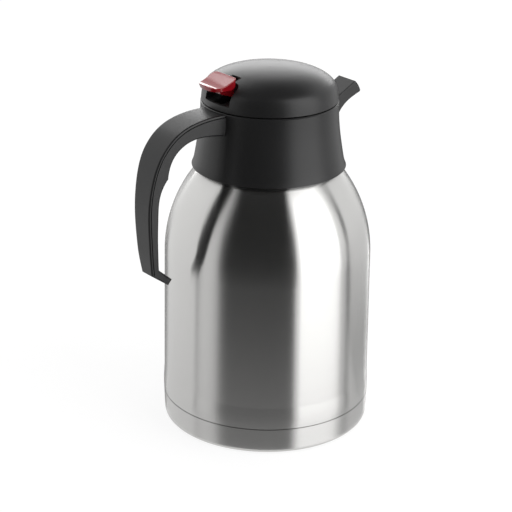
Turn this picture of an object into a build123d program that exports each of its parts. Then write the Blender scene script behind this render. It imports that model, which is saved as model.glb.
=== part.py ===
from build123d import *
import os
from math import acos, cos, pi, radians, sin, sqrt

# Thermal jug. Millimetres, +Z up, origin at the centre of the foot's underside.
# +X points along the pouring beak, -X along the handle.

# Steel body
body_radius = 73.2          # side wall at the foot of the shoulder
foot_flare = 0.8            # how far the side wall leans out down to the bead
bead_out = 0.5              # the ring near the foot, beyond the wall above it
seam_out = 0.4              # the wall at the seam, beyond the wall above the bead
bead_height = 27.0
bead_half_length = 8.5
shoulder_start = 125.0
shoulder_end = 200.93       # where the shoulder meets the neck
sheet = 0.8
seam_height = 19.3
seam_gap = 0.6
skirt_step = 1.1            # how far the wall steps in, inside the foot cup
skirt_bottom = 5.0
neck_radius = 35.5          # inside the flask's mouth
rim_height = 205.0
vacuum_gap = 5.0
flask_bottom = 17.0
flask_corner = 12.0
vacuum_base_height = 8.0
vacuum_base_rim = 4.0
getter_radius = 5.0
getter_length = 16.0
getter_offset = 34.0
clip_wire = 0.6
seal_cap_radius = 7.0
seal_cap_height = 1.4

# Foot cup and foot pad
cup_draft = 0.1             # the cup's foot, inside the wall above the bead
cup_floor = 2.0
cup_floor_thickness = 1.0
cup_ground_gap = 0.6
cup_roll = 3.0
pad_inset = 7.6
pad_play = 0.2
pad_chamfer = 0.5

# Collar
collar_lift = 2.04          # lower edge above the shoulder at the seat
collar_top = 236.4
collar_bottom_radius = 53.9
collar_low_radius = 51.5
collar_low_height = 199.3
collar_mid_radius = 49.3
collar_mid_height = 213.3
collar_top_radius = 47.8
collar_edge = 0.7
collar_wall = 2.6
collar_seat = 50.6          # radius where the collar's lip meets the shoulder
chamber_radius = 44.5
chamber_bottom = 217.5
thread_bore = 40.5
ledge_radius = 36.2
ledge_thickness = 2.0
skirt_wall = 3.0
neck_play = 0.2
neck_grip = 3.0             # how far the collar's skirt reaches down the neck
gasket_lip = 1.0
gasket_height = 1.6
haunch = 2.5                # slope that carries the ledge
haunch_height = 4.0
lip_height = 2.0
wall_root = 1.0             # how deep beak and handle root in the collar's wall

# Thread of the lid
thread_starts = 4
thread_lead = 24.0
thread_thickness = 1.8
thread_play = 0.35
thread_root = 0.5
rib_depth = 1.8
rib_arc = 44.0
rib_height = 212.6          # middle of a rib at its low end
lug_arc = 36.0
lug_radius = 40.1
thread_phase = 22.0

# Beak
beak_width = 18.3
beak_top_root = (46.0, 226.65)
beak_top_tip = (69.8, 239.7)
beak_nose = (72.9, 236.0)
beak_low_tip = (74.7, 232.3)
beak_under_tip = (74.2, 231.0)
beak_under = ((67.0, 228.1), (61.2, 224.6), (57.2, 220.7), (53.2, 213.8))
beak_under_root = (50.4, 204.0)
beak_wall = 1.5
beak_edge = 0.7
channel_step = 0.4          # rise from the chamber's floor to the channel's
channel_start = 2.0         # how far inside the chamber's wall the channel begins
channel_end = 3.0           # how far past the nose it runs
mouth_rise = 0.4
mouth_slope = 1.6

# Handle, outlines in side view (X, Z)
handle_back = (
    (-46.0, 236.4),
    (-58.2, 236.3),
    (-66.2, 235.5),
    (-74.5, 233.8),
    (-82.0, 231.0),
    (-88.6, 226.9),
    (-94.2, 221.5),
    (-98.3, 216.0),
    (-101.7, 209.0),
    (-106.0, 192.0),
    (-107.4, 174.1),
    (-106.4, 153.7),
    (-103.7, 131.5),
)
handle_front_top = (
    (-46.0, 221.4),
    (-58.0, 223.0),
    (-68.0, 223.5),
    (-79.0, 220.9),
    (-87.6, 213.9),
    (-91.4, 204.4),
)
handle_notch = (-91.9, 199.6)
handle_front_low = (
    (-94.0, 196.9),
    (-97.6, 189.4),
    (-99.2, 174.1),
    (-99.4, 157.0),
    (-98.9, 146.0),
    (-98.2, 137.5),
)
hook_bend = (-97.8, 134.6)
hook_nose_top = (-86.7, 125.2)
hook_nose_low = (-89.6, 121.3)
handle_widths = (
    (118.0, 10.2),
    (131.5, 12.6),
    (142.0, 14.9),
    (174.0, 17.5),
    (200.0, 20.1),
    (221.0, 23.0),
    (245.0, 23.4),
)
cover_lip = 1.5             # side face of the cover between its edge and the groove
cover_depth = 3.7           # how deep the cover's tongue lies in the core
groove_width = 0.7
groove_depth = 1.5
handle_edge = 1.2
screw_radius = 1.5
screw_head_radius = 2.8
screw_head_height = 1.6
handle_screw_places = ((-71.0, 223.4), (-99.9, 178.0))
handle_screw_lengths = (10.0, 6.2)
band_reach = 12.0           # how far outside the handle's back a cutting band begins
band_half_width = 20.0

# Lid dome
lid_seam = 0.5
dome_radius = 47.4
dome_side = ((46.9, 242.0), (45.0, 248.2), (40.6, 252.4), (34.6, 255.4), (19.2, 258.8), (9.6, 259.6))
dome_height = 259.9
dome_wall = 2.2
slot_half_width = 13.2
slot_back = -34.6
slot_inner = -28.3          # how far in the narrow part of the slot goes, for the lever's web
slot_floor = 241.5
slot_corner = 5.0
slot_web_play = 1.0
ramp_line = ((-46.0, 241.5), (-40.0, 242.4), (-34.6, 244.8))
dome_foot_chamfer = 0.6
pocket_wall = 1.6
pocket_length = 20.0

# Deck and stopper
deck_thickness = 2.2
deck_play = 0.3
deck_lift = 0.1
guide_radius = 5.0
guide_below = 6.0
guide_above = 2.0
stem_radius = 2.5
stem_play = 0.06
flange_radius = 43.2
flange_thickness = 3.4
seal_groove_depth = 1.4
seal_groove_height = 1.6
seal_play = 0.3
stopper_radius = 37.2
stopper_wall = 2.0
step_thickness = 2.0
sleeve_radius = 33.2
sleeve_wall = 2.0
sleeve_bottom = 196.0
sleeve_flange = 34.9
gasket_bottom = 198.5
gasket_top = 203.5
floor_thickness = 2.0
seat_radius = 12.6
window_count = 6
window_arc = 34.0
window_bottom = 219.0
window_top = 231.0
lid_screw_count = 4
lid_screw_circle = 40.2
lid_screw_top = 244.5
boss_radius = 3.6

# Lever
pin_place = (-23.0, 245.0)
pin_radius = 1.5
pin_length = 20.8
pin_play = 0.05
ear_radius = 4.0
ear_inner = 7.3
ear_outer = 10.3
hub_radius = 4.0
hub_half_width = 7.0
blade_width = 26.4
blade_bow = 2.6
blade_corner = 4.5          # back corners seen from above
blade_tip_corner = 1.3
blade_low_corner = 7.5      # front corners where the sides have come in at the bottom
blade_inset = 2.2           # how far the sides come in there
blade_edge = 0.4
blade_top = ((-57.2, 256.7), (-54.2, 255.1), (-49.6, 255.2), (-44.0, 257.3), (-37.2, 260.2))
blade_bottom = ((-37.2, 256.0), (-41.0, 252.2), (-47.0, 250.6), (-57.2, 250.8))
web_half_width = 4.0
web_outline = (
    (-23.0, 249.0),
    (-28.5, 252.6),
    (-31.0, 254.0),
    (-37.8, 256.6),
    (-46.0, 252.0),
    (-45.5, 248.6),
    (-36.0, 245.2),
    (-24.0, 241.1),
)
fork_height = 246.7
fork_radius = 2.5
fork_inner = 2.8
fork_outer = 6.3
arm_top_drop = 0.4
arm_low_rise = 0.2
arm_root_rise = 1.0

# Valve
valve_lift_play = 0.2
valve_radius = 16.0
valve_seal_thickness = 1.4
valve_seal_inner = 11.5
valve_thickness = 2.4
valve_hub_radius = 5.0
valve_hub_height = 4.0
stem_head_radius = 5.0
washer_thickness = 0.8
washer_radius = 8.6
nut_play = 0.3
nut_radius = 6.5
nut_height = 2.5
stem_seal_inner = 2.8
stem_seal_outer = 4.2
stem_seal_height = 1.6
spring_radius = 7.5
spring_wire = 0.5
spring_turns = 6

# Cutting solids run past the faces that they open
past = 5.0
short_past = 1.0

# Derived places
foot_radius = body_radius + foot_flare
bead_radius = foot_radius + bead_out
seam_radius = foot_radius + seam_out
skirt_radius = foot_radius - skirt_step
cup_radius = foot_radius - cup_draft
pad_radius = cup_radius - pad_inset
neck_outer = neck_radius + 2 * sheet
shoulder_across = body_radius - neck_outer
shoulder_rise = shoulder_end - shoulder_start
shoulder_arc = (shoulder_across ** 2 + shoulder_rise ** 2) / (2 * shoulder_across)
shoulder_centre = body_radius - shoulder_arc
seat_height = shoulder_start + sqrt(shoulder_arc ** 2 - (collar_seat - shoulder_centre) ** 2)
collar_bottom = seat_height + collar_lift
collar_skirt_in = neck_outer + neck_play
collar_skirt_out = collar_skirt_in + skirt_wall
lid_bottom = collar_top + lid_seam
deck_bottom = lid_bottom + deck_lift
deck_top = deck_bottom + deck_thickness
ledge_bottom = rim_height + gasket_height
ledge_top = ledge_bottom + ledge_thickness
step_bottom = ledge_top + seal_play
floor_top = sleeve_bottom + floor_thickness
valve_bottom = floor_top + valve_lift_play + valve_seal_thickness
hub_top = valve_bottom + valve_thickness + valve_hub_height
washer_top = hub_top + washer_thickness
nut_bottom = fork_height + fork_radius + nut_play
nut_top = nut_bottom + nut_height


def at(place):
    """A point (X, Z) of the side view as a point in space."""
    return (place[0], 0, place[1])


def turned(*edges):
    """Solid of revolution about Z of a closed side-view outline made of edges."""
    return revolve(Face(Wire(edges)), Axis.Z)


def path(*places):
    """Straight edges through side-view points."""
    return [Line(at(a), at(b)) for a, b in zip(places, places[1:])]


def turned_path(*places):
    return turned(*path(*places, places[0]))


def ring(inner, outer, bottom, top):
    """Plain ring or, with inner 0, a disc."""
    return turned_path((inner, bottom), (outer, bottom), (outer, top), (inner, top))


def slab(outline, half_width):
    """Side-view face given thickness both ways along Y."""
    facing = outline if outline.normal_at().Y > 0 else -outline
    return extrude(Pos(0, -half_width, 0) * facing, 2 * half_width, dir=(0, 1, 0))


def side_edges(solid, from_middle):
    """Edges away from the middle plane and outside the collar."""
    centres = [(e, e.center()) for e in solid.edges()]
    return [e for e, c in centres if abs(c.Y) > from_middle and abs(c.X) > collar_top_radius]


def shoulder_height(radius, inset=0.0):
    """Height of the shoulder's arc, moved inward by inset, at a radius."""
    arc = shoulder_arc - inset
    return shoulder_start + sqrt(arc ** 2 - (radius - shoulder_centre) ** 2)


def shoulder(end_radius, inset=0.0):
    """Arc of the shoulder from the side wall to end_radius, and its two ends."""
    arc = shoulder_arc - inset
    start = (body_radius - inset, shoulder_start)
    end = (end_radius, shoulder_height(end_radius, inset))
    half = acos((end_radius - shoulder_centre) / arc) / 2
    middle = (shoulder_centre + arc * cos(half), shoulder_start + arc * sin(half))
    return ThreePointArc(at(start), at(middle), at(end)), start, end


def wall_line(inset):
    """Side wall of the outer shell from its lower edge up to the rim, as edges."""
    neck = neck_outer - inset
    arc, start, end = shoulder(neck, inset)
    low = (seam_radius - inset, seam_height + seam_gap / 2)
    bead = (bead_radius - inset, bead_height)
    above = (foot_radius - inset, bead_height + bead_half_length)
    bead_curve = Spline(at(low), at(bead), at(above), tangents=[(0.1, 0, 1), (-0.05, 0, 1)])
    side = Line(at(above), at(start))
    neck_line = Line(at(end), at((neck, rim_height)))
    return low, [bead_curve, side, arc, neck_line], (neck, rim_height)


def make_outer_shell():
    low_out, outside, rim_out = wall_line(0.0)
    low_in, inside, rim_in = wall_line(sheet)
    skirt_in = skirt_radius - sheet
    joggle = path(low_out, (skirt_radius, low_out[1]), (skirt_radius, skirt_bottom), (skirt_in, skirt_bottom),
                  (skirt_in, low_in[1] + sheet), low_in)
    return turned(*outside, *path(rim_out, rim_in), *inside, *joggle)


def make_inner_flask():
    def wall(inset, floor, corner):
        arc, start, end = shoulder(neck_radius + sheet - (inset - flask_inset), inset)
        side = body_radius - inset
        foot = (side, floor + corner)
        middle = (side - corner + corner * cos(pi / 4), floor + corner - corner * sin(pi / 4))
        corner_arc = ThreePointArc(at((side - corner, floor)), at(middle), at(foot))
        edges = [Line(at((0, floor)), at((side - corner, floor))), corner_arc, Line(at(foot), at(start)), arc]
        top = (end[0], rim_height)
        return edges + [Line(at(end), at(top))], top

    flask_inset = sheet + vacuum_gap
    outside, top_out = wall(flask_inset, flask_bottom, flask_corner)
    inside, top_in = wall(flask_inset + sheet, flask_bottom + sheet, flask_corner - sheet)
    axis_line = path((0, flask_bottom), (0, flask_bottom + sheet))
    return turned(*outside, *path(top_out, top_in), *inside, *axis_line)


def make_vacuum_base():
    edge = skirt_radius - sheet
    z = vacuum_base_height
    top = z + vacuum_base_rim
    inner = edge - sheet
    return turned_path((0, z), (edge, z), (edge, top), (inner, top), (inner, z + sheet), (0, z + sheet))


def make_seal_cap():
    return ring(0, seal_cap_radius, vacuum_base_height - seal_cap_height, vacuum_base_height)


def make_getter():
    centre = Pos(getter_offset, 0, flask_bottom - getter_radius / 2 - clip_wire)
    return centre * Box(getter_length, 2 * getter_radius, getter_radius)


def make_getter_clip():
    outer = Pos(getter_offset, 0, flask_bottom - getter_radius / 2 - clip_wire)
    strap = outer * Box(getter_length / 3, 2 * (getter_radius + clip_wire), getter_radius + 2 * clip_wire)
    return strap - outer * Box(getter_length, 2 * getter_radius, getter_radius)


def make_base_shell():
    top = seam_height - seam_gap / 2
    inner_floor = cup_floor + cup_floor_thickness
    ledge = skirt_radius - 2 * sheet
    roll_start = (cup_radius - cup_roll, cup_ground_gap)
    roll_end = (cup_radius, cup_ground_gap + cup_roll)
    roll_middle = (cup_radius - cup_roll * (1 - sin(pi / 4)), cup_ground_gap + cup_roll * (1 - cos(pi / 4)))
    recess = pad_radius + pad_play
    bottom = path((0, cup_floor), (recess, cup_floor), (recess, cup_ground_gap), roll_start)
    roll = ThreePointArc(at(roll_start), at(roll_middle), at(roll_end))
    rest = path(roll_end, (seam_radius, top), (skirt_radius, top), (skirt_radius, skirt_bottom),
                (ledge, skirt_bottom), (ledge, inner_floor), (0, inner_floor), (0, cup_floor))
    return turned(*bottom, roll, *rest)


def make_base_pad():
    c = pad_chamfer
    return turned_path((0, 0), (pad_radius - c, 0), (pad_radius, c), (pad_radius, cup_floor), (0, cup_floor))


def collar_outside():
    """Outer line of the collar, from its lower edge to its upper edge."""
    return Spline(
        at((collar_bottom_radius, collar_bottom + collar_edge)),
        at((collar_low_radius, collar_low_height)),
        at((collar_mid_radius, collar_mid_height)),
        at((collar_top_radius, collar_top - collar_edge)),
        tangents=[(-0.52, 0, 1), (0.0, 0, 1)],
    )


def collar_ring():
    lip_low = (collar_seat, seat_height + neck_play)
    lip_out = (collar_bottom_radius - collar_edge, collar_bottom)
    outer_low = (collar_bottom_radius, collar_bottom + collar_edge)
    outer_top = (collar_top_radius, collar_top - collar_edge)
    shell_in = collar_mid_radius - collar_wall
    pocket = collar_skirt_out - gasket_lip
    skirt_low = rim_height - neck_grip
    bore_top = chamber_bottom - (chamber_radius - thread_bore) / 4
    inner = path(
        outer_top, (collar_top_radius - collar_edge, collar_top), (chamber_radius, collar_top),
        (chamber_radius, chamber_bottom), (thread_bore, bore_top), (thread_bore, ledge_top),
        (ledge_radius, ledge_top), (ledge_radius, ledge_bottom), (pocket, ledge_bottom), (pocket, rim_height),
        (collar_skirt_in, rim_height), (collar_skirt_in, skirt_low), (collar_skirt_out, skirt_low),
        (collar_skirt_out + haunch, ledge_top), (thread_bore + collar_wall, ledge_top + haunch_height),
        (shell_in, collar_mid_height + short_past), (shell_in, collar_mid_height),
        (collar_low_radius - collar_wall, collar_low_height), (collar_seat, collar_bottom + lip_height),
        lip_low, lip_out, outer_low,
    )
    return turned(collar_outside(), *inner)


def helical_bar(radius_in, radius_out, height, start_angle, arc):
    """Bar of thread_thickness that climbs with the thread's lead over arc degrees."""
    middle = (radius_in + radius_out) / 2
    rise = thread_lead * arc / 360
    helix = Pos(0, 0, height) * Rot(0, 0, start_angle) * Helix(pitch=thread_lead, height=rise, radius=middle)
    across = Rectangle(radius_out - radius_in, thread_thickness)
    start = radians(start_angle)
    section = Plane(helix @ 0, x_dir=(cos(start), sin(start), 0), z_dir=helix % 0)
    return sweep(section * across, path=helix, binormal=Edge.make_line((0, 0, 0), (0, 0, 1)))


def thread_bars(radius_in, radius_out, height, arc):
    step = 360 / thread_starts
    starts = [thread_phase + step * i for i in range(thread_starts)]
    return [helical_bar(radius_in, radius_out, height, start, arc) for start in starts]


def make_beak():
    under = Spline(
        at(beak_under_tip),
        *[at(p) for p in beak_under],
        at(beak_under_root),
        tangents=[(-1, 0, -0.4), (-0.1, 0, -1)],
    )
    inner_root = (beak_top_root[0], beak_under_root[1])
    outline = Face(Wire([
        Line(at(beak_top_root), at(beak_top_tip)),
        ThreePointArc(at(beak_top_tip), at(beak_nose), at(beak_low_tip)),
        Line(at(beak_low_tip), at(beak_under_tip)),
        under,
        Line(at(beak_under_root), at(inner_root)),
        Line(at(inner_root), at(beak_top_root)),
    ]))
    beak = slab(outline, beak_width / 2)
    long_edges = [e for e in side_edges(beak, beak_width / 4) if e.length > beak_width]
    return fillet(long_edges, beak_edge)


def make_channel():
    """Space that the beak pours through, from the collar's chamber out of its nose."""
    top_dx = beak_top_tip[0] - beak_top_root[0]
    top_dz = beak_top_tip[1] - beak_top_root[1]
    slope = top_dz / top_dx
    drop = beak_wall * sqrt(1 + slope ** 2)
    start = chamber_radius - channel_start

    def roof(x):
        return beak_top_root[1] + (x - beak_top_root[0]) * slope - drop

    low = [(x - beak_wall / 2, z + beak_wall) for x, z in beak_under[:3]]
    mouth_low = (beak_low_tip[0] - beak_wall, beak_low_tip[1] + mouth_rise)
    nose_x = beak_low_tip[0] + channel_end
    nose_low = (nose_x, mouth_low[1] + mouth_slope)
    inside_low = (start, chamber_bottom + channel_step)
    corners = ((start, roof(start)), (nose_x, roof(nose_x)), nose_low, mouth_low, *low, inside_low)
    outline = Face(Wire(path(*corners, corners[0])))
    return slab(outline, beak_width / 2 - beak_wall)


def back_curve(depth):
    """The handle's back line moved inward by depth."""
    curve = Spline(*[at(p) for p in handle_back], tangents=[(-1, 0, 0), (0.16, 0, -1)])
    if depth == 0:
        return curve
    places = []
    steps = 2 * len(handle_back)
    for i in range(steps + 1):
        along = curve % (i / steps)
        point = curve @ (i / steps)
        inward = Vector(-along.Z, 0, along.X).normalized()
        places.append(point + inward * depth)
    return Spline(*places)


def narrowed(inset):
    """Room of the handle's width less inset on each side."""
    low = handle_widths[0][0] - past
    reach = 2 * max(-x for x, z in handle_back)
    right = [(0, w / 2 - inset, z) for z, w in handle_widths]
    left = [(0, inset - w / 2, z) for z, w in handle_widths]
    front = Face(Wire([
        Spline(*right),
        Line(right[-1], left[-1]),
        Spline(*reversed(left)),
        Line(left[0], (0, left[0][1], low)),
        Line((0, left[0][1], low), (0, right[0][1], low)),
        Line((0, right[0][1], low), right[0]),
    ]))
    return extrude(front, reach, dir=(-1, 0, 0))


def handle_blank():
    """The whole handle before it is parted into core and cover."""
    side = Face(Wire([
        back_curve(0),
        *path(handle_back[-1], hook_nose_low, hook_nose_top, hook_bend, handle_front_low[-1]),
        Spline(*[at(p) for p in reversed(handle_front_low)], at(handle_notch)),
        Spline(at(handle_notch), *[at(p) for p in reversed(handle_front_top)]),
        Line(at(handle_front_top[0]), at(handle_back[0])),
    ]))
    blank = slab(side, handle_widths[-1][1]) & narrowed(0)
    return fillet(side_edges(blank, handle_widths[0][1] / 4), handle_edge)


def back_layer(depth_from, depth_to, half_width):
    """Band that follows the handle's back line between two depths."""
    outer = back_curve(depth_from)
    inner = back_curve(depth_to)
    band = Face(Wire([outer, Line(outer @ 1, inner @ 1), inner, Line(inner @ 0, outer @ 0)]))
    return slab(band, half_width)


def handle_screw_axes():
    """Places on the handle's front face and the directions from there into it."""
    down, back = handle_screw_places
    upward = Plane(at(down), x_dir=(0, 1, 0), z_dir=(0, 0, 1))
    backward = Plane(at(back), x_dir=(0, 1, 0), z_dir=(-1, 0, 0))
    return [upward, backward]


def screw_shape(head_radius, head_height, radius, length):
    """Screw along +Z with its head's outer face at 0."""
    return ring(0, head_radius, 0, head_height) + ring(0, radius, head_height, length)


def make_handle_pieces():
    """Core of the handle, its cover and the screws that join them."""
    blank = handle_blank()
    lip = back_layer(-band_reach, cover_lip, band_half_width)
    tongue = back_layer(cover_lip, cover_depth, band_half_width) & narrowed(groove_depth)
    cleared = back_layer(-band_reach, cover_lip + groove_width, band_half_width)
    channel = back_layer(-band_reach, cover_depth, band_half_width) & narrowed(groove_depth)
    collar_room = ring(0, collar_top_radius + groove_width, collar_low_height, collar_top + past)
    cover = (blank & (lip + tongue)) - collar_room
    core = blank - cleared - channel
    screws = []
    for plane, length in zip(handle_screw_axes(), handle_screw_lengths):
        screw = plane * screw_shape(screw_head_radius, screw_head_height, screw_radius, length)
        screws.append(screw)
        core = core - screw
        cover = cover - screw
    return core, cover, Compound(children=screws)


def make_collar(core):
    ribs = thread_bars(thread_bore - rib_depth, thread_bore + thread_root, rib_height, rib_arc)
    shell = collar_ring()
    solid_inside = ring(0, chamber_radius + wall_root, collar_bottom, collar_top + past)
    body = shell + (make_beak() - solid_inside) + (core - solid_inside)
    body = body - make_channel()
    for rib in ribs:
        body = body + rib
    return body


def make_neck_gasket():
    return ring(neck_radius + neck_play / 2, collar_skirt_out - gasket_lip, rim_height, ledge_bottom)


def dome_line(inset):
    """Outer line of the dome moved inward by inset."""
    first = (dome_radius - inset, lid_bottom)
    places = [first]
    for r, z in dome_side:
        share = (z - lid_bottom) / (dome_height - lid_bottom)
        places.append((r - inset * (1 - share ** 3), z - inset * share ** 3))
    top = (0, dome_height - inset)
    return Spline(*[at(p) for p in places], at(top)), first, top


def slot_block(half_width, back, bottom):
    """Block from the back of a slot out past the dome's edge."""
    length = dome_radius + 2 * past + back
    height = dome_height - bottom + past
    return Pos(back - length / 2, 0, bottom + height / 2) * Box(length, 2 * half_width, height)


def slot_room():
    """Space that the slot takes out of the dome: wide for the blade, narrow for its web."""
    wide = slot_block(slot_half_width, slot_back, slot_floor)
    back = wide.edges().filter_by(Axis.Z).group_by(Axis.X)[-1]
    return fillet(back, slot_corner) + slot_block(web_half_width + slot_web_play, slot_inner, slot_floor)


def make_slot_lining():
    """Floor and ramps under the blade and the wall round it, parted in the middle by the web's groove."""
    low, high = ramp_line[0][0], ramp_line[-1][0]
    ramp = slab(Face(Wire(path(*ramp_line, (high, deck_top), (low, deck_top), ramp_line[0]))), slot_half_width)
    wall = slot_block(slot_half_width, slot_back + pocket_wall, deck_top) - slot_room()
    return ramp + wall - slot_block(web_half_width + slot_web_play, slot_inner, deck_top - past)


def make_lid_dome():
    outer, out_low, out_top = dome_line(0.0)
    inner, in_low, in_top = dome_line(dome_wall)
    shell = turned(outer, *path(out_top, in_top), inner, *path(in_low, out_low))
    hollow_line, hollow_low, hollow_top = dome_line(dome_wall / 2)
    filled = turned(hollow_line, *path(hollow_top, (0, lid_bottom), hollow_low))
    middle = Pos(slot_back + pocket_wall - pocket_length / 2, 0, deck_top + pocket_length / 2)
    cleared = pocket_length + 2 * short_past
    pocket = middle * Box(pocket_length, 2 * (slot_half_width + pocket_wall), pocket_length)
    pocket = pocket - middle * Box(cleared, 2 * slot_half_width, cleared)
    bosses = [place * ring(0, boss_radius, deck_top, dome_height) for place in lid_screw_axes()]
    room = ring(0, dome_radius, lid_bottom, deck_top)
    inside = filled & (pocket + bosses)
    dome = (shell + (inside - room)) - slot_room()
    dome = dome + (make_slot_lining() & filled)
    chamfer = (dome_radius - dome_foot_chamfer, lid_bottom), (dome_radius + past, lid_bottom - past / 2)
    dome = dome - turned_path(*chamfer, (dome_radius + past, lid_bottom + dome_foot_chamfer + past))
    for place in lid_screw_axes():
        dome = dome - place * ring(0, screw_radius, deck_top - short_past, lid_screw_top)
    return dome


def lid_screw_axes():
    step = 360 / lid_screw_count
    return [Rot(0, 0, step * (i + 0.5)) * Pos(lid_screw_circle, 0, 0) for i in range(lid_screw_count)]


def make_lid_deck():
    radius = dome_radius - dome_wall - deck_play
    plate = ring(0, radius, deck_bottom, deck_top)
    guide = ring(0, guide_radius, deck_bottom - guide_below, deck_top + guide_above)
    deck = plate + guide
    pin_x, pin_z = pin_place
    for side in (-1, 1):
        y = side * (ear_inner + ear_outer) / 2
        thick = ear_outer - ear_inner
        post = Pos(pin_x, y, (deck_top + pin_z) / 2) * Box(2 * ear_radius, thick, pin_z - deck_top)
        eye = Pos(pin_x, y, pin_z) * Rot(90, 0, 0) * Cylinder(ear_radius, thick)
        deck = deck + post + eye
    deck = deck - Pos(pin_x, 0, pin_z) * Rot(90, 0, 0) * Cylinder(pin_radius, 4 * ear_outer)
    guide_bottom = deck_bottom - guide_below
    guide_top = deck_top + guide_above
    deck = deck - ring(0, stem_radius + stem_play, guide_bottom - short_past, guide_top + short_past)
    deck = deck - ring(0, stem_seal_outer, guide_bottom - short_past, guide_bottom + stem_seal_height)
    for place in lid_screw_axes():
        deck = deck - place * ring(0, screw_radius, deck_bottom - short_past, deck_top + short_past)
    return deck


def make_stem_seal():
    bottom = deck_bottom - guide_below
    return ring(stem_seal_inner, stem_seal_outer, bottom, bottom + stem_seal_height)


def seal_groove():
    """Low and high side of the groove for the flange's seal."""
    middle = deck_bottom - flange_thickness / 2
    return middle - seal_groove_height / 2, middle + seal_groove_height / 2


def make_stopper_body():
    low, high = seal_groove()
    flange_bottom = deck_bottom - flange_thickness
    inside = stopper_radius - stopper_wall
    sleeve_in = sleeve_radius - sleeve_wall
    groove = flange_radius - seal_groove_depth
    step_top = step_bottom + step_thickness
    shell = turned_path(
        (seat_radius, sleeve_bottom), (sleeve_flange, sleeve_bottom),
        (sleeve_flange, gasket_bottom - seal_play), (sleeve_radius, gasket_bottom - seal_play),
        (sleeve_radius, gasket_top + seal_play),
        (sleeve_flange, gasket_top + seal_play), (sleeve_flange, step_bottom), (stopper_radius, step_bottom),
        (stopper_radius, flange_bottom), (flange_radius, flange_bottom), (flange_radius, low), (groove, low),
        (groove, high), (flange_radius, high), (flange_radius, deck_bottom), (inside, deck_bottom),
        (inside, step_top), (sleeve_in, step_top), (sleeve_in, floor_top), (seat_radius, floor_top),
    )
    step = 360 / window_count
    for i in range(window_count):
        width = 2 * stopper_radius * sin(radians(window_arc / 2))
        height = window_top - window_bottom
        window = Pos(stopper_radius, 0, window_bottom + height / 2) * Box(4 * stopper_wall, width, height)
        shell = shell - Rot(0, 0, step * i) * window
    lug_height = rib_height - thread_thickness - thread_play
    for lug in thread_bars(stopper_radius - thread_root, lug_radius, lug_height, lug_arc):
        shell = shell + lug
    for place in lid_screw_axes():
        shell = shell - place * ring(0, screw_radius, flange_bottom - short_past, deck_bottom + short_past)
    return shell


def make_flange_seal():
    low, high = seal_groove()
    return ring(flange_radius - seal_groove_depth, chamber_radius - seal_play, low, high)


def make_lid_gasket():
    return ring(sleeve_radius + seal_play, neck_radius - seal_play, gasket_bottom, gasket_top)


def make_lid_screws():
    bottom = deck_bottom - flange_thickness - screw_head_height
    screw = screw_shape(screw_head_radius, screw_head_height, screw_radius, lid_screw_top - bottom)
    return Compound(children=[place * Pos(0, 0, bottom) * screw for place in lid_screw_axes()])


def make_lever_pin():
    return Pos(pin_place[0], 0, pin_place[1]) * Rot(90, 0, 0) * Cylinder(pin_radius, pin_length)


def blade_plan(height, inset, tip_corner):
    """Outline of the blade from above at a height, its front and sides moved in by inset."""
    back = blade_top[-1][0]
    front = blade_top[0][0] + inset
    half = blade_width / 2 - inset
    corner_x = front + blade_bow
    plan = Face(Wire([
        Line((back, -half, 0), (back, half, 0)),
        Line((back, half, 0), (corner_x, half, 0)),
        ThreePointArc((corner_x, half, 0), (front, 0, 0), (corner_x, -half, 0)),
        Line((corner_x, -half, 0), (back, -half, 0)),
    ]))
    plan = plan.fillet_2d(blade_corner - inset, plan.vertices().group_by(Axis.X)[-1])
    return Pos(0, 0, height) * plan.fillet_2d(tip_corner, plan.vertices().group_by(Axis.X)[0])


def blade_hull():
    """Tall solid with the blade's outline, drawn in towards the bottom."""
    low = blade_plan(blade_bottom[1][1], blade_inset, blade_low_corner)
    return loft([low, blade_plan(blade_top[-1][1] + short_past, 0, blade_tip_corner)], ruled=True)


def make_thumb_lever():
    side = Face(Wire([
        Spline(*[at(p) for p in blade_top]),
        Line(at(blade_top[-1]), at(blade_bottom[0])),
        Spline(*[at(p) for p in blade_bottom]),
        Line(at(blade_bottom[-1]), at(blade_top[0])),
    ]))
    blade = slab(side, blade_width) & blade_hull()
    blade = fillet(blade.edges(), blade_edge)
    pin_x, pin_z = pin_place
    web = slab(Face(Wire(path(*web_outline, web_outline[0]))), web_half_width)
    hub = Pos(pin_x, 0, pin_z) * Rot(90, 0, 0) * Cylinder(hub_radius, 2 * hub_half_width)
    lever = blade + web + hub
    prong_y = (fork_inner + fork_outer) / 2
    prong_width = fork_outer - fork_inner
    arm = Face(Wire(path(
        (pin_x, pin_z + hub_radius), (0, fork_height + fork_radius - arm_top_drop),
        (0, fork_height - fork_radius + arm_low_rise), (pin_x, pin_z - hub_radius + arm_root_rise),
        (pin_x, pin_z + hub_radius),
    )))
    for y in (-prong_y, prong_y):
        prong = Pos(0, y, 0) * slab(arm, prong_width / 2)
        tip = Pos(0, y, fork_height) * Rot(90, 0, 0) * Cylinder(fork_radius, prong_width)
        lever = lever + prong + tip
    return lever - Pos(pin_x, 0, pin_z) * Rot(90, 0, 0) * Cylinder(pin_radius + pin_play, 4 * hub_half_width)


def make_valve_stem():
    head_bottom = floor_top + valve_lift_play
    head = ring(0, stem_head_radius, head_bottom, valve_bottom)
    return head + ring(0, stem_radius, valve_bottom, nut_top)


def make_valve_disc():
    plate = ring(stem_radius, valve_radius, valve_bottom, valve_bottom + valve_thickness)
    return plate + ring(stem_radius, valve_hub_radius, valve_bottom, hub_top)


def make_valve_seal():
    return ring(valve_seal_inner, valve_radius, floor_top + valve_lift_play, valve_bottom)


def make_spring_washer():
    return ring(stem_radius + stem_play, washer_radius, hub_top, washer_top)


def make_stem_nut():
    return ring(stem_radius, nut_radius, nut_bottom, nut_top)


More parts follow.
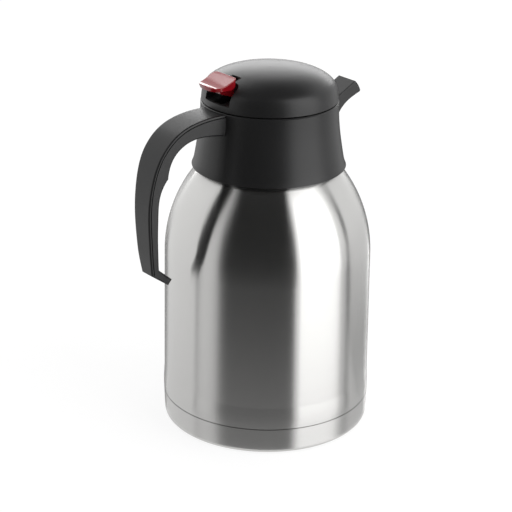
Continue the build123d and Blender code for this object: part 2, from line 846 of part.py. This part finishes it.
def make_valve_spring():
    bottom = washer_top + spring_wire
    top = deck_bottom - spring_wire
    height = top - bottom
    coil = Pos(0, 0, bottom) * Helix(pitch=height / spring_turns, height=height, radius=spring_radius)
    section = Plane(coil @ 0, z_dir=coil % 0) * Circle(spring_wire)
    return sweep(section, path=coil, is_frenet=True)


def make_pieces():
    core, cover, handle_screws = make_handle_pieces()
    return {
        "outer_shell": make_outer_shell(),
        "base_shell": make_base_shell(),
        "inner_flask": make_inner_flask(),
        "vacuum_base": make_vacuum_base(),
        "seal_cap": make_seal_cap(),
        "getter": make_getter(),
        "getter_clip": make_getter_clip(),
        "base_pad": make_base_pad(),
        "collar": make_collar(core),
        "neck_gasket": make_neck_gasket(),
        "handle_cover": cover,
        "handle_screws": handle_screws,
        "lid_dome": make_lid_dome(),
        "lid_deck": make_lid_deck(),
        "stopper_body": make_stopper_body(),
        "flange_seal": make_flange_seal(),
        "stem_seal": make_stem_seal(),
        "lid_gasket": make_lid_gasket(),
        "lid_screws": make_lid_screws(),
        "lever_pin": make_lever_pin(),
        "thumb_lever": make_thumb_lever(),
        "valve_stem": make_valve_stem(),
        "valve_disc": make_valve_disc(),
        "valve_seal": make_valve_seal(),
        "spring_washer": make_spring_washer(),
        "stem_nut": make_stem_nut(),
        "valve_spring": make_valve_spring(),
    }


if __name__ == "__main__":
    os.makedirs("parts", exist_ok=True)
    for node, piece in make_pieces().items():
        export_step(piece, f"parts/{node}.step")
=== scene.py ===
import bpy
import numpy as np
from math import cos, pi, radians, sin
from mathutils import Matrix, Vector

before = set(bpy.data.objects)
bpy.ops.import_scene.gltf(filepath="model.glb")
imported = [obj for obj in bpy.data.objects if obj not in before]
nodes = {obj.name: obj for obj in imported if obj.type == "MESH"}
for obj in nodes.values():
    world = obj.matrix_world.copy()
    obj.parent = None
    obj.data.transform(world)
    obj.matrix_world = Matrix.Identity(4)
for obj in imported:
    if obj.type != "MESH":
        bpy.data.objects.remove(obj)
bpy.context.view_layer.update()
print("frame loaded:", len(nodes), "nodes")


class Wire:
    # one output socket; + - * / and ** add the Math nodes
    def __init__(self, net, socket):
        self.net = net
        self.socket = socket

    def __add__(self, other):
        return self.net.math("ADD", self, other)

    def __radd__(self, other):
        return self.net.math("ADD", other, self)

    def __sub__(self, other):
        return self.net.math("SUBTRACT", self, other)

    def __rsub__(self, other):
        return self.net.math("SUBTRACT", other, self)

    def __mul__(self, other):
        return self.net.math("MULTIPLY", self, other)

    def __rmul__(self, other):
        return self.net.math("MULTIPLY", other, self)

    def __truediv__(self, other):
        return self.net.math("DIVIDE", self, other)

    def __rtruediv__(self, other):
        return self.net.math("DIVIDE", other, self)

    def __pow__(self, other):
        return self.net.math("POWER", self, other)


class Net:
    # the node tree of one material or of the world
    def __init__(self, tree):
        self.tree = tree
        tree.nodes.clear()

    def add(self, kind, settings=None, out=0, **inputs):
        # a node's type, its settings, the output its wire leaves, and values or wires for its inputs
        node = self.tree.nodes.new(kind)
        for name, value in (settings or {}).items():
            if name == "stops":
                self.fillRamp(node.color_ramp, value)
            else:
                setattr(node, name, value)
        for name, value in inputs.items():
            spot = self.inputSpot(name)
            if isinstance(value, Wire):
                self.tree.links.new(value.socket, node.inputs[spot])
            else:
                node.inputs[spot].default_value = value
        if node.outputs:
            return Wire(self, node.outputs[out])

    def inputSpot(self, name):
        # i0, i6 and the like are an input's number, any other word is its name with _ for each space
        if name[0] == "i" and name[1:].isdigit():
            return int(name[1:])
        return name.replace("_", " ")

    def fillRamp(self, ramp, stops):
        while len(ramp.elements) < len(stops):
            ramp.elements.new(1.0)
        for element, (place, colour) in zip(ramp.elements, stops):
            element.position = place
            element.color = colour

    def outputsOf(self, wire, *names):
        # wires from the named outputs of the node that this wire leaves
        return [Wire(self, wire.socket.node.outputs[name]) for name in names]

    def math(self, operation, a, b):
        return self.add("ShaderNodeMath", {"operation": operation}, i0=a, i1=b)

    def mixColour(self, share, a, b):
        # the Mix node's colours are its inputs 6 and 7 and its output 2
        return self.add("ShaderNodeMix", {"data_type": "RGBA"}, out=2, i0=share, i6=a, i7=b)

    def objectPlace(self):
        return self.add("ShaderNodeTexCoord", out="Object")

    def noise(self, scale, detail=2.0, stretch=(1.0, 1.0, 1.0), roughness=0.5):
        place = self.add("ShaderNodeMapping", Vector=self.objectPlace(), Scale=stretch)
        return self.add("ShaderNodeTexNoise", Vector=place, Scale=scale, Detail=detail,
                        Roughness=roughness)

    def varied(self, level, pattern, swing):
        # the level where the pattern is at its middle, half the swing more or less at its ends
        return level + (pattern - 0.5) * swing

    def bump(self, height, strength, depth):
        return self.add("ShaderNodeBump", Strength=strength, Distance=depth, Height=height)

    def surface(self, shader):
        self.add("ShaderNodeOutputMaterial", Surface=shader)


def material(name):
    made = bpy.data.materials.new(name)
    made.use_nodes = True
    return made, Net(made.node_tree)


def grey(value):
    return (value, value, value, 1.0)


# brush lines per metre are few round the jug and many up its height
brushedSteel = {
    "colour": (0.60, 0.596, 0.586, 1.0),
    "darker": (0.57, 0.566, 0.556, 1.0),
    "roughness": 0.235,
    "roughnessSwing": 0.05,
    "anisotropic": 1.0,
    "quarterTurn": 0.25,      # highlights stretch up and down, across the brushing
    "fineLines": {"scale": 1.0, "detail": 3.0, "stretch": (14.0, 14.0, 2600.0), "roughness": 0.6},
    "fineShare": 0.6,
    "broadLines": {"scale": 1.0, "detail": 2.0, "stretch": (9.0, 9.0, 2600.0 / 9), "roughness": 0.5},
    "broadShare": 0.4,
    "grainStrength": 0.35,
    "grainDepth": 0.000012,
}


def makeBrushedSteel(name, values):
    made, net = material(name)
    lines = net.noise(**values["fineLines"])
    broad = net.noise(**values["broadLines"])
    streaks = lines * values["fineShare"] + broad * values["broadShare"]
    shader = net.add(
        "ShaderNodeBsdfPrincipled",
        Base_Color=net.mixColour(streaks, values["darker"], values["colour"]),
        Metallic=1.0,
        Roughness=net.varied(values["roughness"], streaks, values["roughnessSwing"]),
        Anisotropic=values["anisotropic"],
        Anisotropic_Rotation=values["quarterTurn"],
        Normal=net.bump(lines, values["grainStrength"], values["grainDepth"]),
    )
    net.surface(shader)
    return made


# what all the moulded plastics share
mouldedPlastic = {"cloudScale": 24.0, "cloudDetail": 3.0, "roughnessSwing": 0.08, "grainStrength": 0.25}

plasticFinish = {
    "charcoal": {
        "colour": (0.0115, 0.0115, 0.012, 1.0),
        "worn": (0.016, 0.016, 0.0165, 1.0),
        "roughness": 0.37,
        "shine": 0.42,
        "grain": 1500.0,
        "grainDepth": 0.00006,
    },
    "stopper": {
        "colour": (0.030, 0.031, 0.033, 1.0),
        "worn": (0.042, 0.043, 0.045, 1.0),
        "roughness": 0.38,
        "shine": 0.5,
        "grain": 900.0,
        "grainDepth": 0.00003,
    },
    "footPad": {
        "colour": (0.020, 0.020, 0.021, 1.0),
        "worn": (0.032, 0.032, 0.033, 1.0),
        "roughness": 0.62,
        "shine": 0.5,
        "grain": 700.0,
        "grainDepth": 0.00008,
    },
}


def makePlastic(name, values):
    made, net = material(name)
    fine = net.noise(values["grain"])
    cloud = net.noise(mouldedPlastic["cloudScale"], mouldedPlastic["cloudDetail"])
    shader = net.add(
        "ShaderNodeBsdfPrincipled",
        Base_Color=net.mixColour(cloud, values["colour"], values["worn"]),
        Roughness=net.varied(values["roughness"], cloud, mouldedPlastic["roughnessSwing"]),
        Normal=net.bump(fine, mouldedPlastic["grainStrength"], values["grainDepth"]),
        Specular_IOR_Level=values["shine"],
    )
    net.surface(shader)
    return made


glossyRed = {
    "colour": (0.34, 0.006, 0.013, 1.0),
    "deep": (0.27, 0.003, 0.008, 1.0),
    "cloudScale": 60.0,
    "roughness": 0.12,
    "roughnessSwing": 0.05,
    "rippleScale": 180.0,
    "rippleStrength": 0.08,
    "rippleDepth": 0.0001,
    "coat": 0.25,
    "coatRoughness": 0.06,
}


def makeGlossyRed(name, values):
    made, net = material(name)
    cloud = net.noise(values["cloudScale"])
    ripple = net.noise(values["rippleScale"])
    shader = net.add(
        "ShaderNodeBsdfPrincipled",
        Base_Color=net.mixColour(cloud, values["deep"], values["colour"]),
        Roughness=net.varied(values["roughness"], cloud, values["roughnessSwing"]),
        Normal=net.bump(ripple, values["rippleStrength"], values["rippleDepth"]),
        Coat_Weight=values["coat"],
        Coat_Roughness=values["coatRoughness"],
    )
    net.surface(shader)
    return made


softSeal = {
    "colour": (0.42, 0.42, 0.41, 1.0),
    "dusty": (0.52, 0.52, 0.50, 1.0),
    "dustScale": 150.0,
    "dustDetail": 3.0,
    "roughness": 0.5,
    "roughnessSwing": 0.1,
    "grain": 2200.0,
    "grainDetail": 1.0,
    "grainStrength": 0.15,
    "grainDepth": 0.00003,
    "scatter": 0.1,           # light that goes in and comes out near by
    "scatterReach": 0.002,
}


def makeSilicone(name, values):
    made, net = material(name)
    cloud = net.noise(values["dustScale"], values["dustDetail"])
    fine = net.noise(values["grain"], values["grainDetail"])
    shader = net.add(
        "ShaderNodeBsdfPrincipled",
        Base_Color=net.mixColour(cloud, values["colour"], values["dusty"]),
        Roughness=net.varied(values["roughness"], cloud, values["roughnessSwing"]),
        Normal=net.bump(fine, values["grainStrength"], values["grainDepth"]),
        Subsurface_Weight=values["scatter"],
        Subsurface_Scale=values["scatterReach"],
    )
    net.surface(shader)
    return made


# what all the plain metals share; the grain is so many times finer than the spots
rolledMetal = {
    "spotDetail": 4.0,
    "grainTimes": 12,
    "grainStrength": 0.2,
    "grainDepth": 0.00002,
    "roughnessSwing": 0.12,
}

plainMetal = {
    "innerSteel": {
        "colour": (0.58, 0.58, 0.585, 1.0),
        "stain": (0.50, 0.50, 0.505, 1.0),
        "roughness": 0.24,
        "spots": 90.0,
    },
    "fastener": {
        "colour": (0.55, 0.55, 0.56, 1.0),
        "stain": (0.45, 0.45, 0.46, 1.0),
        "roughness": 0.30,
        "spots": 400.0,
    },
    "getter": {
        "colour": (0.36, 0.34, 0.33, 1.0),
        "stain": (0.26, 0.25, 0.26, 1.0),
        "roughness": 0.5,
        "spots": 500.0,
    },
}


def makeMetal(name, values):
    made, net = material(name)
    cloud = net.noise(values["spots"], rolledMetal["spotDetail"])
    fine = net.noise(values["spots"] * rolledMetal["grainTimes"])
    shader = net.add(
        "ShaderNodeBsdfPrincipled",
        Base_Color=net.mixColour(cloud, values["stain"], values["colour"]),
        Metallic=1.0,
        Roughness=net.varied(values["roughness"], fine, rolledMetal["roughnessSwing"]),
        Normal=net.bump(fine, rolledMetal["grainStrength"], rolledMetal["grainDepth"]),
    )
    net.surface(shader)
    return made


finishes = {
    "steel_wall": makeBrushedSteel("brushedSteelWall", brushedSteel),
    "steel_inner": makeMetal("innerSteel", plainMetal["innerSteel"]),
    "getter_metal": makeMetal("getterMetal", plainMetal["getter"]),
    "pad_plastic": makePlastic("footPadPlastic", plasticFinish["footPad"]),
    "black_plastic": makePlastic("charcoalPlastic", plasticFinish["charcoal"]),
    "stopper_plastic": makePlastic("stopperPlastic", plasticFinish["stopper"]),
    "silicone": makeSilicone("softSilicone", softSeal),
    "fastener_steel": makeMetal("fastenerSteel", plainMetal["fastener"]),
    "red_plastic": makeGlossyRed("glossyRedPlastic", glossyRed),
}

for node in nodes.values():
    for i, old in enumerate(node.data.materials):
        node.data.materials[i] = finishes[old.name.split(".")[0]]
print("finishes assigned:", len(finishes))


cameraView = {
    "distance": 1.1919,
    "targetHeight": 0.1197,
    "pitch": 22.103,
    "yaw": -0.419,
    "roll": 0.7375,
    "lens": 117.35,
    "sensor": 36.0,
    "nearest": 0.05,
    "furthest": 50.0,
    "turn": 38.5,             # from the picture's left and right to the handle and the beak
}


def turned(x, away):
    # the picture's right and depth, turned about the jug's axis into the jug's own x and y
    a = radians(-cameraView["turn"])
    return cos(a) * x - sin(a) * away, sin(a) * x + cos(a) * away


def fromPicture(x, away, z):
    return Vector((*turned(x, away), z))


def placeCamera(values):
    t = radians(values["pitch"])
    yaw = radians(values["yaw"])
    roll = radians(values["roll"])
    back = values["distance"]
    spot = fromPicture(0.0, -back * cos(t), values["targetHeight"] + back * sin(t))
    ahead = fromPicture(sin(yaw) * cos(t), cos(yaw) * cos(t), -sin(t))
    level = fromPicture(cos(yaw), -sin(yaw), 0.0)
    upright = level.cross(ahead)
    right = level * cos(roll) + upright * sin(roll)
    up = upright * cos(roll) - level * sin(roll)
    data = bpy.data.cameras.new("productCamera")
    data.lens = values["lens"]
    data.sensor_width = values["sensor"]
    data.clip_start = values["nearest"]
    data.clip_end = values["furthest"]
    made = bpy.data.objects.new("productCamera", data)
    turn = Matrix((right, up, -ahead)).transposed()
    made.matrix_world = Matrix.Translation(spot) @ turn.to_4x4()
    bpy.context.scene.collection.objects.link(made)
    bpy.context.scene.camera = made


placeCamera(cameraView)
print("camera placed")


def gridMesh(name, points, closedAround=False):
    # points is rows x columns x 3; quads join neighbours, and the last column meets the first if closed
    rows, columns = points.shape[:2]
    index = np.arange(rows * columns).reshape(rows, columns)
    across = np.roll(index, -1, axis=1) if closedAround else index[:, 1:]
    here = index if closedAround else index[:, :-1]
    quads = np.stack([here[:-1], across[:-1], across[1:], here[1:]], axis=-1).reshape(-1, 4)
    mesh = bpy.data.meshes.new(name)
    mesh.from_pydata(points.reshape(-1, 3).tolist(), [], quads.tolist())
    mesh.update()
    return mesh


def stagePiece(name, mesh, look):
    made = bpy.data.objects.new(name, mesh)
    made.data.materials.append(look)
    bpy.context.scene.collection.objects.link(made)
    return made


def onlyReflected(piece):
    piece.visible_camera = False
    piece.visible_diffuse = False
    piece.visible_transmission = False
    piece.visible_shadow = False
    piece.visible_volume_scatter = False


def glow(name, strength):
    made, net = material(name)
    net.surface(net.add("ShaderNodeEmission", Color=grey(1.0), Strength=strength))
    return made


# angles are seen from the jug: 0 is towards the camera, plus is to the picture's right
wholeRound = {"fromAngle": -180, "toAngle": 180, "steps": 145}


def swung(profile, fromAngle, toAngle, steps):
    # rows follow a side profile of (reach, height), columns the angle about the jug's axis: the picture's
    # right is reach times the angle's sine, its depth is minus reach times the cosine, then both are turned
    angles = np.radians(np.linspace(fromAngle, toAngle, steps))
    reach, height = np.array(profile).T
    right = reach[:, None] * np.sin(angles)
    away = -reach[:, None] * np.cos(angles)
    return np.stack([*turned(right, away), np.broadcast_to(height[:, None], right.shape)], axis=-1)


def aroundShare(net, place):
    # share of the way round the jug: 0 and 1 behind it, 0.5 towards the camera
    x, y = net.outputsOf(net.add("ShaderNodeSeparateXYZ", Vector=place), "X", "Y")
    start = radians(270 + cameraView["turn"])
    return net.math("FRACT", (net.math("ARCTAN2", y, x) + start) / (2 * pi), 0.0)


def roundRamp(net, share, stops, brightest=1.0):
    # stops are (angle, level); a ramp holds up to 1, so the levels are shares of the brightest
    places = [((angle + 180) / 360, grey(level / brightest)) for angle, level in stops]
    return net.add("ShaderNodeValToRGB", {"stops": places}, Fac=share)


roomWall = {
    "profile": ((1.7, 0.0), (1.7, 1.2), (1.7, 2.3)),
    "levels": (
        (-180, 0.25), (-165, 0.42), (-152, 0.78), (-142, 1.06), (-100, 1.04), (-82.5, 1.00),
        (-80.7, 0.25), (-78.9, 0.25), (-77.1, 0.98), (-68, 0.95), (-60, 0.82), (-55, 0.56),
        (-50, 0.11), (-44, 0.020), (30, 0.020), (31.5, 1.3), (94, 1.3), (96, 0.98),
        (104, 1.06), (142, 1.03), (152, 0.60), (165, 0.32), (180, 0.25),
    ),
    "brightest": 1.4,
}


def makeRoomWall(values):
    paper, net = material("roomWallPaper")
    share = aroundShare(net, net.objectPlace())
    level = roundRamp(net, share, values["levels"], values["brightest"])
    net.surface(net.add("ShaderNodeEmission", Color=level, Strength=values["brightest"]))
    mesh = gridMesh("roomWall", swung(values["profile"], **wholeRound))
    onlyReflected(stagePiece("roomWall", mesh, paper))


roomFloor = {
    "profile": ((0.0765, 0.001), (0.2, 0.001), (0.6, 0.001), (1.75, 0.001)),
    "mirror": ((-180, 0.12), (-172, 0.12), (-160, 0.95), (-20, 0.95), (20, 0.72), (92, 0.72),
               (98, 0.80), (148, 0.80), (160, 0.12)),
    "mirrorRoughness": 0.12,
    "shade": ((-180, 0.0), (88, 0.0), (96, 1.0), (150, 1.0), (165, 0.0)),
    "shadeReach": 0.215,      # a soft shade on the floor, to the right of the jug and behind it
    "shadeWidth": 0.13,
    "shadeDepth": 0.42,
    "nearReach": 0.06,        # between these distances the floor's own light fades and its mirror grows
    "farReach": 0.44,
    "nearLevel": 0.25,
    "farLevel": 0.01,
    "nearPaintedShade": 0.42,         # share of the mirror that is lost beside the jug: painted shade near its foot
}


def makeRoomFloor(values):
    # a mirror of the walls, plus its own light that fades with the distance from the jug
    sheet, net = material("glossyFloorSheet")
    place = net.objectPlace()
    share = aroundShare(net, place)
    reach = net.add("ShaderNodeVectorMath", {"operation": "LENGTH"}, out="Value", i0=place)
    near = net.add("ShaderNodeMapRange", {"interpolation_type": "SMOOTHSTEP"}, Value=reach,
                   From_Min=values["nearReach"], From_Max=values["farReach"], To_Min=1.0, To_Max=0.0)
    offset = (reach - values["shadeReach"]) / values["shadeWidth"]
    rise = net.math("MAXIMUM", 1.0 - offset ** 2, 0.0)
    unshaded = 1.0 - rise * values["shadeDepth"] * roundRamp(net, share, values["shade"])
    level = (values["farLevel"] + near * (values["nearLevel"] - values["farLevel"])) * unshaded
    # painted shade: the mirror is darkened beside the jug and where the soft shade lies
    kept = (1.0 - near * values["nearPaintedShade"]) * unshaded
    mirror = net.mixColour(1.0 - kept, roundRamp(net, share, values["mirror"]), grey(0.0))
    gloss = net.add("ShaderNodeBsdfAnisotropic", Color=mirror, Roughness=values["mirrorRoughness"])
    light = net.add("ShaderNodeEmission", Color=grey(1.0), Strength=level)
    net.surface(net.add("ShaderNodeAddShader", i0=gloss, i1=light))
    mesh = gridMesh("roomFloor", swung(values["profile"], **wholeRound))
    onlyReflected(stagePiece("roomFloor", mesh, sheet))


curtainSteps = 25

curtains = {
    "darkCeiling": {"angles": (-180, 180), "profile": ((1.7, 2.3), (0.01, 2.5)), "level": 0.04},
    "edgeFlag": {"angles": (95.0, 101.0), "profile": ((1.45, 0.15), (1.45, 1.9)), "level": 0.0},
    "backBox": {"angles": (150.0, 214.0), "profile": ((1.5, 0.38), (1.5, 0.78)), "level": 4.4},
    "upperBack": {"angles": (150.0, 214.0), "profile": ((1.5, 0.80), (1.5, 0.9), (1.25, 1.2)), "level": 1.1},
    "topBox": {"angles": (194.0, 218.0), "profile": ((1.5, 1.05), (1.3, 1.55)), "level": 3.3},
    # keeps the boxes behind the jug off its steel wall
    "darkShelf": {"angles": (153.0, 218.0), "profile": ((0.09, 0.234), (0.4, 0.234), (1.48, 0.234)),
                  "level": 0.10},
}


def makeCurtain(name, values):
    mesh = gridMesh(name, swung(values["profile"], *values["angles"], curtainSteps))
    onlyReflected(stagePiece(name, mesh, glow(name + "Cloth", values["level"])))


makeRoomWall(roomWall)
makeRoomFloor(roomFloor)
for name, values in curtains.items():
    makeCurtain(name, values)
print("room built: wall, floor and", len(curtains), "curtains")


keySoftbox = {
    "facing": 40.0,           # it stands square to this angle, and reaches between the next two
    "fromAngle": 35.6,
    "toAngle": 94.0,
    "distance": 1.2,
    "height": 1.74,
    "level": 1.36,
}


def makeSoftbox(name, values):
    distance = values["distance"]
    height = values["height"]
    left = distance * np.tan(radians(values["fromAngle"] - values["facing"]))
    right = distance * np.tan(radians(values["toAngle"] - values["facing"]))
    data = bpy.data.lights.new(name, "AREA")
    data.shape = "RECTANGLE"
    data.size = right - left
    data.size_y = height
    data.energy = values["level"] * pi * data.size * height
    made = bpy.data.objects.new(name, data)
    out = radians(values["facing"])
    slide = (left + right) / 2
    made.location = fromPicture(distance * sin(out) + slide * cos(out),
                                -distance * cos(out) + slide * sin(out), height / 2)
    made.rotation_mode = "QUATERNION"
    made.rotation_quaternion = fromPicture(-sin(out), cos(out), 0.0).to_track_quat("-Z", "Y")
    made.visible_camera = False
    bpy.context.scene.collection.objects.link(made)


def shownRay(net):
    # 1 where the camera sees the backdrop straight, in a mirror or through something clear, else 0
    path = net.add("ShaderNodeLightPath")
    straight, mirrored, through = net.outputsOf(path, "Is Camera Ray", "Is Glossy Ray",
                                                "Is Transmission Ray")
    return net.math("MAXIMUM", net.math("MAXIMUM", straight, mirrored), through)


paleFloor = {
    "colour": 0.30,
    "glow": 0.78,             # only where the backdrop is seen, so that it lights nothing
    "height": -0.0002,
    "reaches": (0.001, 0.1, 0.3, 1.0, 4.0, 20.0),
    "steps": 96,
}


def makePaleFloor(values):
    # rings about the jug's axis at one height: x and y are the reach times the angle's cosine and sine
    angles = np.linspace(0.0, 2 * pi, values["steps"] + 1)[:-1]
    reach = np.array(values["reaches"])[:, None]
    x = reach * np.cos(angles)
    points = np.stack([x, reach * np.sin(angles), np.full(x.shape, values["height"])], axis=-1)
    made, net = material("paleFloorPaper")
    paper = net.add("ShaderNodeBsdfDiffuse", Color=grey(values["colour"]))
    light = net.add("ShaderNodeEmission", Color=grey(1.0), Strength=shownRay(net) * values["glow"])
    net.surface(net.add("ShaderNodeAddShader", i0=paper, i1=light))
    stagePiece("paleFloor", gridMesh("paleFloor", points, True), made)


softWorld = {"level": 0.75, "shownLevel": 1.0}      # the second is what the backdrop is seen at


def makeWorld(values):
    world = bpy.data.worlds.new("softStudio")
    world.use_nodes = True
    net = Net(world.node_tree)
    level = values["level"] + shownRay(net) * (values["shownLevel"] - values["level"])
    sky = net.add("ShaderNodeBackground", Color=grey(1.0), Strength=level)
    net.add("ShaderNodeOutputWorld", Surface=sky)
    bpy.context.scene.world = world


makeSoftbox("keySoftbox", keySoftbox)
makePaleFloor(paleFloor)
makeWorld(softWorld)
bpy.context.scene.view_settings.view_transform = "Standard"
print("studio ready")
